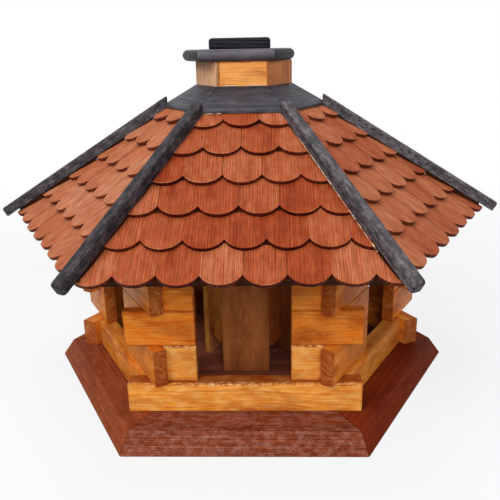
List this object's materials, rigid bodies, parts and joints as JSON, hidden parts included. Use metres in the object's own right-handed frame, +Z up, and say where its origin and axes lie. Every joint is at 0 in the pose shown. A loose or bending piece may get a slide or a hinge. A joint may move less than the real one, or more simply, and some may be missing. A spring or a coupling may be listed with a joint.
{
  "type": "bird feeder house",
  "caption": "Hexagonal log-cabin bird feeder with open windows, a shingled hip roof with dark battens, and a seed silo under a lift-off lid.",
  "frame": {"origin": "centre of the base's underside, at the bottom centre of the bounding box", "axes": "+Z up, -Y out of the front wall, +X to the right as seen from the front"},
  "size_m": [0.632, 0.5522, 0.4146],
  "materials": {
    "base_stain": "satin red-brown stain",
    "floor_stain": "satin dark plum stain",
    "honey_glaze": "satin honey glaze over pine",
    "silo_wood": "satin brown glaze over pine",
    "raw_board": "matte bare board",
    "shingle_stain": "matte brick-red stain over split pine",
    "dark_stain": "matte charcoal stain, worn on the edges",
    "handle_stain": "satin blue-black stain"
  },
  "bodies": {
    "house": {"base_boards_front_trio": "base_stain", "base_boards_rear_trio": "base_stain", "floor_panel": "floor_stain", "sills_front_trio": "honey_glaze", "sills_rear_trio": "honey_glaze", "front_wall_crossing_logs": "honey_glaze", "front_wall_butting_logs": "honey_glaze", "left_front_wall_crossing_logs": "honey_glaze", "left_front_wall_butting_logs": "honey_glaze", "left_rear_wall_crossing_logs": "honey_glaze", "left_rear_wall_butting_logs": "honey_glaze", "rear_wall_crossing_logs": "honey_glaze", "rear_wall_butting_logs": "honey_glaze", "right_rear_wall_crossing_logs": "honey_glaze", "right_rear_wall_butting_logs": "honey_glaze", "right_front_wall_crossing_logs": "honey_glaze", "right_front_wall_butting_logs": "honey_glaze", "wall_plates_front_trio": "honey_glaze", "wall_plates_rear_trio": "honey_glaze", "silo_boards_front_trio": "silo_wood", "silo_boards_rear_trio": "silo_wood", "collar_boards_front_trio": "honey_glaze", "collar_boards_rear_trio": "honey_glaze", "roof_panel_front": "raw_board", "roof_panel_left_front": "raw_board", "roof_panel_left_rear": "raw_board", "roof_panel_rear": "raw_board", "roof_panel_right_rear": "raw_board", "roof_panel_right_front": "raw_board", "shingles_front": "shingle_stain", "shingles_left_front": "shingle_stain", "shingles_left_rear": "shingle_stain", "shingles_rear": "shingle_stain", "shingles_right_rear": "shingle_stain", "shingles_right_front": "shingle_stain", "hip_batten_front_right": "dark_stain", "hip_batten_front_left": "dark_stain", "hip_batten_left": "dark_stain", "hip_batten_rear_left": "dark_stain", "hip_batten_rear_right": "dark_stain", "hip_batten_right": "dark_stain", "skirt_boards_front_trio": "dark_stain", "skirt_boards_rear_trio": "dark_stain"},
    "lid": {"lid_plate": "dark_stain", "lid_handle": "handle_stain", "lid_locating_block": "raw_board"}
  },
  "joints": [
    {"name": "lid_lift", "type": "slide", "parent": "house", "child": "lid", "axis": [0, 0, 1], "range_m": [0, 0.08]}
  ]
}
